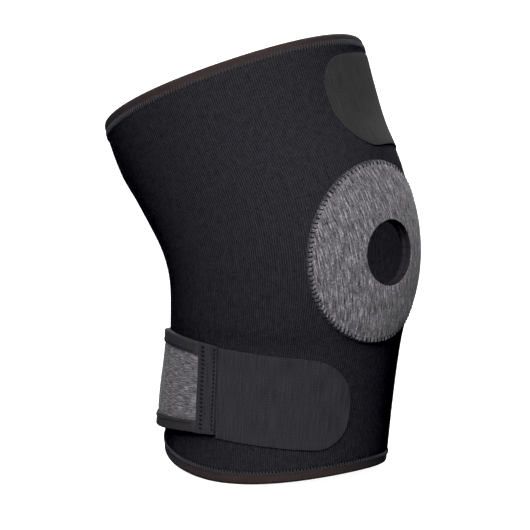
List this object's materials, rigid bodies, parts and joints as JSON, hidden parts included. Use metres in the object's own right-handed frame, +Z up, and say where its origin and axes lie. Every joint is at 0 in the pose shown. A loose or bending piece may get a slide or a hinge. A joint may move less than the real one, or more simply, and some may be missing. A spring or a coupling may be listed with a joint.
{
  "type": "knee support",
  "caption": "Open-patella knee support: a bent neoprene sleeve with bound rims, a grey ring pad round the kneecap opening and hook-and-loop straps above and below it.",
  "frame": {"origin": "middle of the leg on its axis at kneecap level, where the worn support sits", "axes": "+Z up the leg towards the thigh, -Y the way the knee faces, +X to the side with the upper strap's seam"},
  "size_m": [0.15, 0.1997, 0.2503],
  "materials": {
    "neoprene": "charcoal knit-faced neoprene with fine ribs along the leg",
    "rim_tape": "dark brown-grey folded binding tape, stitched",
    "heather_pad": "streaked heather grey knit, overcast with black thread",
    "loop_fabric": "streaked heather grey loop fabric",
    "strap_tape": "dark folded tape, stitched",
    "hook_fabric": "smooth dark grey tab with a faint weave"
  },
  "bodies": {
    "root": {"sleeve": "neoprene", "top_binding": "rim_tape", "bottom_binding": "rim_tape", "patella_ring": "heather_pad", "strap_panel": "loop_fabric", "strap_binding_top": "strap_tape", "strap_binding_bottom": "strap_tape", "strap_joint": "strap_tape", "hook_tab": "hook_fabric", "upper_tab": "hook_fabric"}
  },
  "joints": []
}
